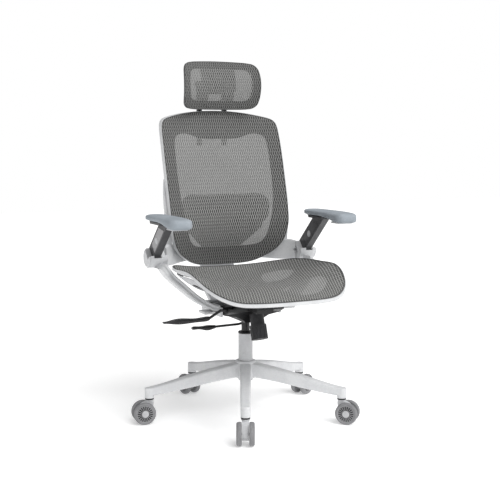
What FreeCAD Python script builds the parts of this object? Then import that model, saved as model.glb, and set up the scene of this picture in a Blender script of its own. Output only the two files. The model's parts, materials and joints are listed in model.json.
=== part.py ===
import FreeCAD, Part
import math
import os

os.makedirs("parts", exist_ok=True)
V = FreeCAD.Vector

# ---------------------------------------------------------------- driving dimensions (mm)
# Frame: +Z up, the sitter faces -Y, the sitter's right is -X, origin on the floor under the gas lift.
STEM_RADIUS = 335.0          # gas-lift axis to each caster stem
WHEEL_RADIUS = 37.0
WHEEL_THICK = 17.0
WHEEL_INNER = 11.5           # axle centre plane to the inner face of a wheel
TRAIL = 20.0                 # caster stem axis to axle
AXLE_RADIUS = 4.0
CASTER_STEM_RADIUS = 5.5
SOCKET_Z = 85.0              # underside of a leg at its caster socket
HUB_RADIUS = 36.0
HUB_TOP = 190.0
TUBE_RADIUS = 24.5           # outer tube of the gas lift
TUBE_TOP = 283.0
COLUMN_RADIUS = 14.0         # pressure cylinder of the gas lift
LIFT_STROKE = 80.0
RUN = 0.06                   # radial clearance of a running fit

RECLINE_Y, RECLINE_Z = -20.0, 368.0      # recline shaft
SEAT_Y, SEAT_Z = -140.0, 397.0           # front seat hinge
ARM_Y, ARM_Z = 108.0, 543.0              # flip-up pivot of the armrests
ARM_X0, ARM_X1 = 272.0, 297.0            # inner and outer face of an arm blade
HEAD_Y, HEAD_Z = 281.0, 1128.0           # headrest tilt pivot
POST_X = 48.0

SEAT_HALF, SEAT_FRONT, SEAT_REAR, SEAT_MID = 264.0, -349.0, 166.0, -82.0
SEAT_NF, SEAT_NR = 2.94, 2.5             # roundness of the front and rear of the seat outline
MESH_T = 2.2                             # woven mesh panel

BACK_HALF = 220.0
FRAME_DEPTH = 23.0                       # back frame, front to rear


# ---------------------------------------------------------------- helpers
def pchip(x, xs, ys):
    n = len(xs)
    if x <= xs[0]:
        return ys[0] + (x - xs[0]) * (ys[1] - ys[0]) / (xs[1] - xs[0])
    if x >= xs[-1]:
        return ys[-1] + (x - xs[-1]) * (ys[-1] - ys[-2]) / (xs[-1] - xs[-2])
    h = [xs[i + 1] - xs[i] for i in range(n - 1)]
    d = [(ys[i + 1] - ys[i]) / h[i] for i in range(n - 1)]
    m = [d[0]] + [(d[i - 1] * h[i] + d[i] * h[i - 1]) / (h[i] + h[i - 1]) for i in range(1, n - 1)] + [d[-1]]
    for i in range(n - 1):
        if x <= xs[i + 1]:
            t = (x - xs[i]) / h[i]
            return (
                (2 * t**3 - 3 * t**2 + 1) * ys[i]
                + (t**3 - 2 * t**2 + t) * h[i] * m[i]
                + (-2 * t**3 + 3 * t**2) * ys[i + 1]
                + (t**3 - t**2) * h[i] * m[i + 1]
            )


def box(x0, y0, z0, x1, y1, z1, r=0.0):
    s = Part.makeBox(x1 - x0, y1 - y0, z1 - z0, V(x0, y0, z0))
    return s.makeFillet(r, s.Edges) if r else s


def rod(a, b, r):
    a, b = V(*a), V(*b)
    return Part.makeCylinder(r, (b - a).Length, a, b - a)


def cone(a, b, r0, r1):
    a, b = V(*a), V(*b)
    return Part.makeCone(r0, r1, (b - a).Length, a, b - a)


def ball(p, r):
    return Part.makeSphere(r, V(*p))


def fuse(shapes):
    s = shapes[0].multiFuse(shapes[1:]) if len(shapes) > 1 else shapes[0]
    return s.removeSplitter()


def cut(s, tools):
    for t in tools:
        s = s.cut(t)
    return s


def bent_rod(points, r):
    parts = [rod(points[i], points[i + 1], r) for i in range(len(points) - 1)]
    parts += [ball(p, r) for p in points[1:-1]]
    return fuse(parts)


def poly(points, direction):
    w = Part.makePolygon([V(*p) for p in points] + [V(*points[0])])
    return Part.Face(w).extrude(V(*direction))


def rrect(c, u, v, w, h, r):
    """Rounded rectangle wire, centred on c, w along u and h along v."""
    c, u, v = V(*c), V(*u), V(*v)
    u.normalize()
    v.normalize()
    r = min(r, 0.49 * min(w, h))
    a, b, k = w / 2.0, h / 2.0, 1 - math.sqrt(0.5)

    def p(x, y):
        return c + u * x + v * y

    e = []
    corners = [(a, b, 1, 1), (-a, b, -1, 1), (-a, -b, -1, -1), (a, -b, 1, -1)]
    starts, ends, mids = [], [], []
    for i, (x, y, sx, sy) in enumerate(corners):
        q1, q2 = p(x, y - sy * r), p(x - sx * r, y)
        mids.append(p(x - sx * r * k, y - sy * r * k))
        if i % 2 == 0:
            starts.append(q1)
            ends.append(q2)
        else:
            starts.append(q2)
            ends.append(q1)
    for i in range(4):
        e.append(Part.Arc(starts[i], mids[i], ends[i]).toShape())
        e.append(Part.LineSegment(ends[i], starts[(i + 1) % 4]).toShape())
    return Part.Wire(e)


def loft(wires, ruled=False):
    s = Part.makeLoft(wires, True, ruled)
    return s


def loop(points):
    """Closed smooth wire through the points."""
    c = Part.BSplineCurve()
    c.interpolate([V(*p) for p in points], PeriodicFlag=True)
    return c


def offset2d(points, d):
    """Points of a closed counter-clockwise 2-D loop, moved outward by d."""
    n = len(points)
    out = []
    for i in range(n):
        ax, ay = points[i - 1]
        bx, by = points[(i + 1) % n]
        tx, ty = bx - ax, by - ay
        q = math.hypot(tx, ty)
        out.append((points[i][0] + ty / q * d, points[i][1] - tx / q * d))
    return out


def dense(points, n):
    """Resamples a smooth closed 2-D loop to n points of even length."""
    c = loop([(p[0], p[1], 0) for p in points])
    e = c.toShape()
    pts = e.discretize(n + 1)[:-1]
    return [(p.x, p.y) for p in pts]


def mirror_x(s):
    return s.mirror(V(0, 0, 0), V(1, 0, 0))


def check(name, s):
    solids = s.Solids
    ok = all(q.isValid() for q in solids)
    vol = sum(q.Volume for q in solids)
    print(f"{name:24s} solids {len(solids)} valid {ok} volume {vol/1000:.1f} cm3")
    if not solids or not ok or vol <= 0:
        print("   BAD", name)
    return s


def save(name, s):
    solids = s.Solids
    if len(solids) == 1:
        s = solids[0]
    else:
        s = Part.makeCompound(solids)
    check(name, s)
    s.exportStep("parts/" + name + ".step")
    return s


# ---------------------------------------------------------------- star base
def leg(angle):
    stations = [
        (24, 40, 134, 184, 7),
        (90, 37, 127.5, 172.5, 7),
        (190, 34.5, 112, 152, 6.5),
        (280, 32.5, 98.5, 130.5, 6),
        (338, 31, 92, 119.5, 6),
    ]
    w = [rrect((r, 0, (z0 + z1) / 2), (0, 1, 0), (0, 0, 1), b, z1 - z0, q) for r, b, z0, z1, q in stations]
    s = loft(w)
    tip = rod((STEM_RADIUS, 0, SOCKET_Z), (STEM_RADIUS, 0, 119), 15.5)
    tip = tip.makeFillet(2.5, [e for e in tip.Edges if abs(e.BoundBox.ZMin - 119) < 0.1 and abs(e.BoundBox.ZMax - 119) < 0.1])
    s = fuse([s, tip])
    s.rotate(V(0, 0, 0), V(0, 0, 1), angle)
    return s


LEG_ANGLES = [-115.0 + 72.0 * i for i in range(5)]
hub = cone((0, 0, 132), (0, 0, HUB_TOP), HUB_RADIUS + 1.5, HUB_RADIUS - 1.5)
hub = hub.makeFillet(4.0, [e for e in hub.Edges if e.BoundBox.ZMin > HUB_TOP - 0.1])
base = fuse([hub] + [leg(a) for a in LEG_ANGLES])
base = base.cut(rod((0, 0, 120), (0, 0, 200), TUBE_RADIUS))
for a in LEG_ANGLES:
    x, y = STEM_RADIUS * math.cos(math.radians(a)), STEM_RADIUS * math.sin(math.radians(a))
    base = base.cut(rod((x, y, SOCKET_Z - 1), (x, y, 113), CASTER_STEM_RADIUS + RUN))
save("star_base", base)

# ---------------------------------------------------------------- gas lift
tube = rod((0, 0, 122), (0, 0, TUBE_TOP), TUBE_RADIUS)
tube = tube.cut(rod((0, 0, 128), (0, 0, TUBE_TOP + 1), COLUMN_RADIUS + RUN))
tube = tube.cut(rod((0, 0, 121), (0, 0, 129), 5.0 + RUN))
save("gas_tube", tube)
ring = rod((0, 0, TUBE_TOP), (0, 0, TUBE_TOP + 6), TUBE_RADIUS + 0.8)
ring = ring.makeFillet(2.2, [e for e in ring.Edges if e.BoundBox.ZMin > TUBE_TOP + 5.9])
ring = ring.cut(rod((0, 0, TUBE_TOP - 1), (0, 0, TUBE_TOP + 7), COLUMN_RADIUS + RUN))
save("gas_tube_ring", ring)

piston = fuse([rod((0, 0, 123), (0, 0, 246), 5.0), rod((0, 0, 240), (0, 0, 252), 11.4), rod((0, 0, 119), (0, 0, 121.8), 9.0), rod((0, 0, 119), (0, 0, 124), 5.0)])
save("piston_rod", piston)
column = fuse([rod((0, 0, 150), (0, 0, 330), COLUMN_RADIUS), cone((0, 0, 330), (0, 0, 356), COLUMN_RADIUS, 13.0)])
column = column.cut(rod((0, 0, 158), (0, 0, 325), 11.46))
column = column.cut(rod((0, 0, 149), (0, 0, 160), 5.0 + RUN))
save("gas_cylinder", column)

# ---------------------------------------------------------------- tilt mechanism
prof = [(-100, 382), (-100, 357), (-60, 350), (-32, 336), (-27, 328), (27, 328), (32, 336), (60, 350), (100, 357), (100, 382)]
deep = poly([(x, -55, z) for x, z in prof], (0, 135, 0))
brow = poly([(-100, -90, 373), (-100, -90, 382), (-100, -54, 382), (-100, -54, 357)], (200, 0, 0))
nose = box(-30, -152, 373, 30, -80, 386)
lug = fuse([box(-30, SEAT_Y - 9, 380, 30, SEAT_Y + 9, SEAT_Z), rod((-30, SEAT_Y, SEAT_Z), (30, SEAT_Y, SEAT_Z), 9)])
housing = fuse([deep, brow, nose, lug])
housing = cut(
    housing,
    [
        box(-92, -48, 347.5, 92, 72, 383),                                    # spring and link space under the cover
        rod((-102, RECLINE_Y, RECLINE_Z), (102, RECLINE_Y, RECLINE_Z), 8.0),  # recline shaft seat
        rod((-40, SEAT_Y, SEAT_Z), (40, SEAT_Y, SEAT_Z), 4.0),                # seat hinge pin seat
        box(-101, -78, 372, -74, -58, 383),                                   # height-lever notch
        rod((-86, -84, 377), (-86, -50, 377), 2.0 + RUN),                     # height-lever pivot
        box(-6, 27, 326, 20, 37, 342),                                        # tilt-lever slot in the floor
        rod((8, 20, 334), (8, 44, 334), 2.0 + RUN),                           # tilt-lever pivot
    ],
)
socket = fuse([rod((0, 0, 328), (0, 0, 360), 22), housing])
socket = socket.cut(rod((0, 0, 320), (0, 0, 330), COLUMN_RADIUS))
socket = socket.cut(cone((0, 0, 330), (0, 0, 356), COLUMN_RADIUS, 13.0)).cut(rod((0, 0, 355), (0, 0, 361), 12.9))
# tension screw passage through the nose, along the knob axis
KNOB_TOP, KNOB_END = V(0, -83.5, 362.0), V(0, -111.8, 281.0)
kd = (KNOB_END - KNOB_TOP)
kd.normalize()
socket = socket.cut(rod(tuple(KNOB_TOP - kd * 60), tuple(KNOB_TOP + kd * 10), 5.0 + RUN))
save("tilt_housing", socket)
cover = box(-99, -53, 382, 99, 79, 385)
cover = cover.cut(box(-30.5, -60, 381, 30.5, -50, 387))
save("housing_cover", cover)
pins = [
    rod((-112.3, RECLINE_Y, RECLINE_Z), (112.3, RECLINE_Y, RECLINE_Z), 8.0),
    rod((-39, SEAT_Y, SEAT_Z), (39, SEAT_Y, SEAT_Z), 4.0),
]
save("hinge_pins", Part.makeCompound(pins))
coils = []
for sx in (-1, 1):
    h = Part.makeHelix(8.5, 34.0, 11.2)
    prof_w = Part.Wire([Part.Circle(V(11.2, 0, 0), V(0, 1, 0), 2.3).toShape()])
    s = Part.Wire(h.Edges).makePipeShell([prof_w], True, True)
    s.rotate(V(0, 0, 0), V(0, 1, 0), 90)
    s.translate(V(40 if sx > 0 else -74, RECLINE_Y, RECLINE_Z))
    coils.append(s)
save("torsion_spring", Part.makeCompound(coils))

knob = fuse(
    [
        rod(tuple(KNOB_TOP), tuple(KNOB_TOP + kd * 42), 23.5),
        rod(tuple(KNOB_TOP + kd * 38), tuple(KNOB_END), 28.0),
        rod(tuple(KNOB_TOP - kd * 22), tuple(KNOB_TOP + kd * 5), 5.0),
    ]
)
flutes = []
for i in range(14):
    c = rod(tuple(KNOB_TOP + kd * 46), tuple(KNOB_END + kd * 2), 3.2)
    c.translate(V(29.6, 0, 0))
    c.rotate(KNOB_TOP, kd, 360.0 / 14 * i)
    flutes.append(c)
knob = knob.cut(flutes[0].multiFuse(flutes[1:]))
save("tension_knob", knob)

hl = fuse(
    [
        bent_rod([(-86, -68, 377), (-122, -68, 379), (-160, -69, 358), (-182, -70, 354.5)], 4.5),
        rod((-86, -77.5, 377), (-86, -58.5, 377), 2.0),
        ball((-86, -68, 377), 4.5),
    ]
)
paddle = loft(
    [
        rrect((-164, -70, 357), (0, 1, 0), (0, 0, 1), 16, 12, 5),
        rrect((-178, -70, 355.5), (0, 1, 0), (0, 0, 1), 24, 13.5, 5.5),
        rrect((-230, -70, 354), (0, 1, 0), (0, 0, 1), 27, 13, 5.5),
        rrect((-288, -70, 354.2), (0, 1, 0), (0, 0, 1), 27, 12.5, 5),
        rrect((-298, -70, 354.0), (0, 1, 0), (0, 0, 1), 25, 9, 4),
        rrect((-322, -70, 354.5), (0, 1, 0), (0, 0, 1), 18, 5.5, 2.6),
    ]
)
paddle = paddle.cut(hl)
save("height_lever_rod", hl)
save("height_lever_paddle", paddle)
tl = fuse(
    [
        bent_rod([(8, 32, 334), (5, 32, 312), (-10, 33.5, 308), (-122, 45, 303)], 4.0),
        rod((8, 23.5, 334), (8, 43, 334), 2.0),
        ball((8, 32, 334), 4.0),
    ]
)
grip = loft(
    [
        rrect((-95, 42.1, 304.2), (0, 1, 0), (0, 0, 1), 13, 11.5, 5),
        rrect((-106, 43.3, 303.4), (0, 1, 0), (0, 0, 1), 20, 13, 6),
        rrect((-122, 45, 302), (0, 1, 0), (0, 0, 1), 23, 16, 6.5),
        rrect((-136, 45, 302.5), (0, 1, 0), (0, 0, 1), 23, 12.5, 5.5),
        rrect((-150, 45, 304), (0, 1, 0), (0, 0, 1), 22, 8.5, 4),
        rrect((-177, 45, 304), (0, 1, 0), (0, 0, 1), 16, 7, 3.4),
    ]
)
grip = grip.cut(tl)
save("tilt_lever_rod", tl)
save("tilt_lever_paddle", grip)

# ---------------------------------------------------------------- back carrier
sides = []
for sx in (-1, 1):
    plate = box(min(104 * sx, 111 * sx), -46, 352, max(104 * sx, 111 * sx), 118, 384)
    tab = box(min(104 * sx, 166 * sx), -42, 364, max(104 * sx, 166 * sx), 14, 371)
    sides += [plate, tab]
yoke = fuse(sides + [box(-111, 107, 352, 111, 118, 384)])
yoke = yoke.cut(rod((-130, RECLINE_Y, RECLINE_Z), (130, RECLINE_Y, RECLINE_Z), 8.0 + RUN))
save("back_yoke", yoke)


def wing_section(c, t, w, h, groove):
    """Section across tangent t in the XZ plane: fore-aft width w, thickness h, a groove in the front face."""
    t = V(*t)
    t.normalize()
    u = V(0, 1, 0)
    v = t.cross(u)
    v.normalize()
    a, b, g, q = w / 2.0, h / 2.0, groove, 3.0
    pts = [
        (-a + q, b), (a - q, b), (a, b - q), (a, -b + q), (a - q, -b), (-a + q, -b), (-a, -b + q),
        (-a, -3.4), (-a + g, -2.4), (-a + g, 2.4), (-a, 3.4), (-a, b - q),
    ]
    c = V(*c)
    p = [c + u * x + v * y for x, y in pts]
    return Part.makePolygon(p + [p[0]])


WING = [
    # x, y, z, fore-aft width, thickness, groove depth
    (113, -14, 381.5, 54, 20, 2),
    (146, -12, 391, 54, 21, 5),
    (180, -8, 411, 54, 22, 7),
    (208, -2, 433.5, 54, 23, 8),
    (232, 8, 456.5, 56, 24, 8),
    (254, 25, 478.5, 58, 24, 7),
    (270, 48, 504, 58, 24, 5),
    (282, 74, 519, 56, 26, 3),
]
wires = []
for i, (x, y, z, w, h, g) in enumerate(WING):
    a = WING[max(0, i - 1)]
    b = WING[min(len(WING) - 1, i + 1)]
    wires.append(wing_section((x, y, z), (b[0] - a[0], 0, b[2] - a[2]), w, h, g))
bow = loft(wires)
disc_out = rod((ARM_X1 + 0.5, ARM_Y, ARM_Z), (310, ARM_Y, ARM_Z), 34.0)
disc_in = rod((250, ARM_Y, ARM_Z), (ARM_X0 - 0.5, ARM_Y, ARM_Z), 34.0)
bridge = rod((260, ARM_Y, ARM_Z), (305, ARM_Y, ARM_Z), 34.0).cut(rod((259, ARM_Y, ARM_Z), (306, ARM_Y, ARM_Z), 28.0))
keep = poly([(255, ARM_Y, ARM_Z), (255, ARM_Y + 4, ARM_Z - 60), (255, ARM_Y - 70, ARM_Z - 60), (255, ARM_Y - 60, ARM_Z + 2)], (60, 0, 0))
bridge = bridge.common(keep)
wing = fuse([bow, disc_out, disc_in, bridge])
# room for the blade over its whole swing
DIRV = V(0, -0.743, 0.669)
NORV = V(0, 0.669, 0.743)
PIV = V(0, ARM_Y, ARM_Z)


def blade_strip(lo, hi, t0, t1, x0, x1):
    p = [PIV + NORV * lo + DIRV * t0, PIV + NORV * hi + DIRV * t0, PIV + NORV * hi + DIRV * t1, PIV + NORV * lo + DIRV * t1]
    return poly([(x0, q.y, q.z) for q in p], (x1 - x0, 0, 0))


swept = [rod((ARM_X0 - 0.5, ARM_Y, ARM_Z), (ARM_X1 + 0.5, ARM_Y, ARM_Z), 28.0)]
for k in range(0, 10):
    s = blade_strip(-14.2, 38.5, 0, 120, ARM_X0 - 0.5, ARM_X1 + 0.5)
    s.rotate(PIV, V(-1, 0, 0), k * 10.2 if k else -0.6)
    swept.append(s)
wing = wing.cut(swept[0].multiFuse(swept[1:]))
wing = wing.cut(rod((240, ARM_Y, ARM_Z), (320, ARM_Y, ARM_Z), 6.0))
wing = wing.cut(blade_strip(-14.5, 46, 9.5, 75, 296, 321))     # cheeks cut back so the blade shows above the hub
wing = wing.cut(blade_strip(-14.5, 46, 9.5, 75, 249, 273))
wing = max(wing.Solids, key=lambda q: q.Volume)
save("left_wing", wing)
save("right_wing", mirror_x(wing))

pp = rod((246, ARM_Y, ARM_Z), (310, ARM_Y, ARM_Z), 6.0)
save("arm_pivot_pins", Part.makeCompound([pp, mirror_x(pp)]))
capd = rod((310, ARM_Y, ARM_Z), (315, ARM_Y, ARM_Z), 31.0)
capd = capd.makeFillet(3.5, [e for e in capd.Edges if e.BoundBox.XMin > 314.9])
capd = capd.cut(blade_strip(-14.5, 46, 9.5, 75, 309, 316))
save("arm_hub_caps", Part.makeCompound([capd, mirror_x(capd)]))


# back surface: y of the front of the woven panel
EZ = [470, 495, 520, 560, 600, 640, 720, 800, 900, 990, 1040]
EY = [133, 128, 122, 115, 110, 109, 125, 148, 177, 208, 226]
CZ = [470, 520, 600, 700, 900, 1040]
CY_ = [76, 66, 50, 42, 38, 34]


def back_y(x, z):
    return pchip(z, EZ, EY) + pchip(z, CZ, CY_) * (1 - (x / BACK_HALF) ** 2)


def slab_y(f, x0, x1, nx, z0, z1, nz, off, t):
    pts = []
    for i in range(nx):
        x = x0 + (x1 - x0) * i / (nx - 1)
        pts.append([V(x, f(x, z0 + (z1 - z0) * j / (nz - 1)) + off, z0 + (z1 - z0) * j / (nz - 1)) for j in range(nz)])
    s = Part.BSplineSurface()
    s.interpolate(pts)
    return s.toShape().extrude(V(0, t, 0))


def prism_y(points, y0=-100, y1=500):
    c = loop([(x, y0, z) for x, z in points])
    return Part.Face(Part.Wire([c.toShape()])).extrude(V(0, y1 - y0, 0))


def both(half):
    """Closed counter-clockwise loop from its right half, listed from bottom centre to top centre."""
    return half + [(-x, z) for x, z in half[-2:0:-1]]


OUT_HALF = [
    (0, 496.5), (45, 497.2), (85, 500.5), (115, 507.5), (143, 521), (168, 537.5), (188, 556), (203, 580), (212, 608),
    (217.5, 640), (220, 680), (221, 740), (221.5, 800), (221.5, 860), (221, 910), (220, 950), (218, 978), (213.5, 993),
    (203, 1003), (185, 1009.5), (150, 1017.5), (110, 1024), (60, 1029.5), (0, 1031.5),
]
IN_HALF = [
    (0, 548), (50, 549), (100, 553), (135, 561), (152, 576), (161, 600), (171, 640), (181, 680), (187, 720), (190, 780),
    (191, 840), (190, 900), (187, 935), (180, 955), (166, 966), (140, 970), (114, 966), (92, 957), (60, 954), (0, 954),
]
OUT = dense(both(OUT_HALF), 96)
IN = dense(both(IN_HALF), 80)
if sum(OUT[i - 1][0] * OUT[i][1] - OUT[i][0] * OUT[i - 1][1] for i in range(len(OUT))) < 0:
    OUT = OUT[::-1]
mesh = slab_y(back_y, -240, 240, 13, 480, 1045, 19, 0, MESH_T).common(prism_y(OUT))
save("back_mesh", mesh)
frame = slab_y(back_y, -240, 240, 13, 480, 1045, 19, MESH_T + 0.3, FRAME_DEPTH).common(prism_y(offset2d(OUT, 3.0)))
frame = frame.cut(prism_y(IN))
guides = []
for sx in (-1, 1):
    guides.append(box(POST_X * sx - 15, 258, 958, POST_X * sx + 15, 297, 1012, 3))
frame = fuse([frame] + guides)
for sx in (-1, 1):
    frame = frame.cut(box(POST_X * sx - 8.7, 280.7, 940, POST_X * sx + 8.7, 291.3, 1080))
save("back_frame", frame)

# central spine: shield behind the lower back, then a bar that curves down and forward to the yoke
shield = [
    (-62, 512), (62, 512), (60, 548), (100, 584), (144, 626), (146, 650), (128, 664), (60, 668), (-60, 668), (-128, 664),
    (-146, 650), (-144, 626), (-100, 584), (-60, 548),
]
sp = Part.makePolygon([V(x, -100, z) for x, z in shield + [shield[0]]])
shield_s = slab_y(back_y, -200, 200, 11, 490, 690, 11, 36, 12).common(Part.Face(sp).extrude(V(0, 600, 0)))
SP = [
    # y, z, width, thickness
    (119, 368, 150, 18), (150, 371, 132, 19), (185, 384, 122, 20), (214, 408, 124, 20), (233, 440, 128, 19),
    (243, 476, 131, 17), (245, 505, 128, 16), (243, 540, 118, 14),
]
wires = []
for i, (y, z, w, t) in enumerate(SP):
    a, b = SP[max(0, i - 1)], SP[min(len(SP) - 1, i + 1)]
    ty, tz = b[0] - a[0], b[1] - a[1]
    wires.append(rrect((0, y, z), (1, 0, 0), (0, -tz, ty), w, t, 6))
bar = loft(wires)
spine = fuse([bar, shield_s])
save("back_spine", spine)

# rear arms: from each hub behind the lower back to the spine, with an upright behind the frame side
REAR = [
    # x, y, z, height, thickness
    (249.6, 112, 543, 64, 17), (228, 138, 545, 72, 16), (200, 164, 543, 70, 15), (162, 194, 538, 56, 14), (118, 219, 534, 44, 14), (68, 233, 533, 38, 13),
]
wires = []
for i, (x, y, z, h, t) in enumerate(REAR):
    a, b = REAR[max(0, i - 1)], REAR[min(len(REAR) - 1, i + 1)]
    tx, ty = b[0] - a[0], b[1] - a[1]
    if i == 0:
        tx, ty = -1.0, 0.9
    wires.append(rrect((x, y, z), (0, 0, 1), (-ty, tx, 0), h, t, 5))
arm = loft(wires)
UP = [(222, 150, 560), (224.5, 147, 600), (225, 143, 650), (224, 151, 710), (220, 166, 765), (214, 178, 800)]
wires = []
for i, (x, y, z) in enumerate(UP):
    a, b = UP[max(0, i - 1)], UP[min(len(UP) - 1, i + 1)]
    y = back_y(min(x, 216), z) + MESH_T + 0.6 + FRAME_DEPTH + 8
    w = [26, 22, 19, 18, 17, 14][i]
    wires.append(rrect((x - w / 2 + 8, y, z), (1, 0, 0), (0, 1, -0.2), w, 13, 5))
up = loft(wires)
arm = fuse([arm, up])
arm = arm.cut(box(0, 100, 500, 62.5, 300, 560))
arm = arm.cut(spine)
arm = arm.cut(rod((240, ARM_Y, ARM_Z), (320, ARM_Y, ARM_Z), 6.0)).cut(wing)
arm = max(arm.Solids, key=lambda q: q.Volume)
save("left_rear_arm", arm)
save("right_rear_arm", mirror_x(arm))

# lumbar support: a curved shell that slides behind the woven panel
lum = dense(both([(0, 636), (66, 636), (118, 640), (147, 650), (160, 672), (164, 700), (160, 726), (146, 739), (90, 743), (0, 744)]), 44)
lumbar = slab_y(back_y, -180, 180, 11, 620, 770, 9, 15, 5.5).common(prism_y(lum))
rails = [slab_y(back_y, -180, 180, 11, 620, 770, 9, 20, 10).common(box(sx * 40 - 7, 0, 655, sx * 40 + 7, 400, 735)) for sx in (-1, 1)]
lumbar = fuse([lumbar] + rails)
save("lumbar_support", lumbar)

# ---------------------------------------------------------------- seat
RIMY = [-420, -349, -330, -285, -240, -195, -150, -100, -50, 0, 50, 100, 130, 166, 220]
RIMZ = [436, 443, 445, 464, 487, 508, 521, 523, 521, 521, 520, 514, 506.5, 494, 476]


def seat_rim(t):
    c, s = math.cos(t), math.sin(t)
    n = SEAT_NF if s < 0 else SEAT_NR
    x = SEAT_HALF * math.copysign(abs(c) ** (2 / n), c)
    ext = (SEAT_MID - SEAT_FRONT) if s < 0 else (SEAT_REAR - SEAT_MID)
    return x, SEAT_MID + ext * math.copysign(abs(s) ** (2 / n), s)


def polar(x, y):
    """Fraction of the way from the seat centre to its outline, and the outline point on that ray."""
    dy = y - SEAT_MID
    if abs(x) < 1e-9 and abs(dy) < 1e-9:
        return 0.0, SEAT_MID
    n = SEAT_NF if dy < 0 else SEAT_NR
    ext = (SEAT_MID - SEAT_FRONT) if dy < 0 else (SEAT_REAR - SEAT_MID)
    s = (abs(x / SEAT_HALF) ** n + abs(dy / ext) ** n) ** (1 / n)
    return s, SEAT_MID + dy / s


CEY = [-420, -349, -325, -300, -260, -210, -140, -60, 20, 90, 130, 166, 220]
CEZ = [426, 443, 453, 461, 470, 473, 469, 465, 467, 476, 484, 494, 512]


def seat_z(x, y):
    s, yr = polar(x, y)
    s = min(s, 1.12)
    return pchip(y, CEY, CEZ) + (pchip(yr, RIMY, RIMZ) - pchip(yr, CEY, CEZ)) * s**2.6


def dish_z(x, y):
    s, yr = polar(x, y)
    s = min(s, 1.1)
    return 426.0 + (pchip(yr, RIMY, RIMZ) - 9.0 - 426.0) * s**3.2


def slab_z(f, off, t, n=21, m=25, x1=292, y0=-378, y1=196):
    pts = []
    for i in range(n):
        x = -x1 + 2 * x1 * i / (n - 1)
        pts.append([V(x, y0 + (y1 - y0) * j / (m - 1), f(x, y0 + (y1 - y0) * j / (m - 1)) + off) for j in range(m)])
    s = Part.BSplineSurface()
    s.interpolate(pts)
    return s.toShape().extrude(V(0, 0, t))


def prism_z(points, z0=300, z1=700):
    c = loop([(x, y, z0) for x, y in points])
    return Part.Face(Part.Wire([c.toShape()])).extrude(V(0, 0, z1 - z0))


RIM = dense([seat_rim(2 * math.pi * (i + 0.5) / 160) for i in range(160)], 96)
if sum(RIM[i - 1][0] * RIM[i][1] - RIM[i][0] * RIM[i - 1][1] for i in range(len(RIM))) < 0:
    RIM = RIM[::-1]
seat_mesh = slab_z(seat_z, -MESH_T, MESH_T).common(prism_z(RIM))
save("seat_mesh", seat_mesh)
ringz = slab_z(seat_z, -MESH_T - 0.3 - 10.0, 10.0).common(prism_z(offset2d(RIM, 3.5)))
ringz = ringz.cut(prism_z(offset2d(RIM, -21)))
save("seat_frame", ringz)
shell = slab_z(dish_z, -6.4, 4.6).common(prism_z(offset2d(RIM, -12.0)))
shell = shell.cut(ringz).cut(slab_z(seat_z, -MESH_T - 13.5, 60))
shell = max(shell.Solids, key=lambda q: q.Volume)
win = []
for sx in (-1, 1):
    front_w = [(120, -44), (156, -32), (196, -40), (222, -72), (230, -118), (220, -164), (192, -196), (154, -200), (126, -176), (114, -130), (112, -84)]
    rear_w = [(108, 54), (150, 38), (190, 32), (206, 44), (198, 70), (172, 96), (138, 112), (112, 108), (104, 84)]
    for w in (front_w, rear_w):
        win.append(prism_z([(sx * x, y) for x, y in w]))
for w in win:
    shell = shell.cut(w)
save("seat_shell", shell)
plate = box(-88, -150, 412, 88, 118, 418.6)
lugs = []
for sx in (-1, 1):
    a = box(min(31 * sx, 37 * sx), SEAT_Y - 9, SEAT_Z, max(31 * sx, 37 * sx), SEAT_Y + 9, 413)
    b = rod((31 * sx, SEAT_Y, SEAT_Z), (37 * sx, SEAT_Y, SEAT_Z), 9)
    lugs += [a, b]
plate = fuse([plate] + lugs)
plate = plate.cut(rod((-50, SEAT_Y, SEAT_Z), (50, SEAT_Y, SEAT_Z), 4.0 + RUN))
plate = plate.cut(box(-60, -100, 405, 60, 90, 425))
save("seat_plate", plate)

# ---------------------------------------------------------------- armrests
TOPZ = 664.0


def blade_outline(lo, hi):
    a = PIV + NORV * lo
    b = PIV + NORV * hi
    ta, tb = (TOPZ - a.z) / 0.669, (TOPZ - b.z) / 0.669
    return [a, b, b + DIRV * tb, a + DIRV * ta]


pts = blade_outline(-13.0, 37.0)
blade = fuse(
    [
        poly([(ARM_X0, q.y, q.z) for q in pts], (ARM_X1 - ARM_X0, 0, 0)),
        rod((ARM_X0, ARM_Y, ARM_Z), (ARM_X1, ARM_Y, ARM_Z), 27.0),
        box(262, -46, 663.5, 324, 44, 671),
    ]
)
BUT = PIV + NORV * 12.0 + DIRV * 78.0
inset = []
for x0, x1 in ((ARM_X0 - 1, ARM_X0 + 1.6), (ARM_X1 - 1.6, ARM_X1 + 1)):
    q = [PIV + NORV * -7.5 + DIRV * 34, PIV + NORV * 31.5 + DIRV * 34, PIV + NORV * 31.5 + DIRV * 128, PIV + NORV * -7.5 + DIRV * 158]
    inset.append(poly([(x0, p.y, p.z) for p in q], (x1 - x0, 0, 0)))
blade = cut(blade, inset)
blade = blade.cut(rod((ARM_X0 - 5, ARM_Y, ARM_Z), (ARM_X1 + 5, ARM_Y, ARM_Z), 6.0 + RUN))
blade = blade.cut(rod((ARM_X0 - 5, BUT.y, BUT.z), (ARM_X1 + 5, BUT.y, BUT.z), 11.5 + RUN))
save("left_arm_blade", blade)
save("right_arm_blade", mirror_x(blade))
button = rod((ARM_X0 - 0.4, BUT.y, BUT.z), (ARM_X1 + 0.4, BUT.y, BUT.z), 11.5)
button = button.makeFillet(1.2, [e for e in button.Edges if e.Curve.TypeId == "Part::GeomCircle"])
save("left_arm_button", button)
save("right_arm_button", mirror_x(button))
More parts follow.
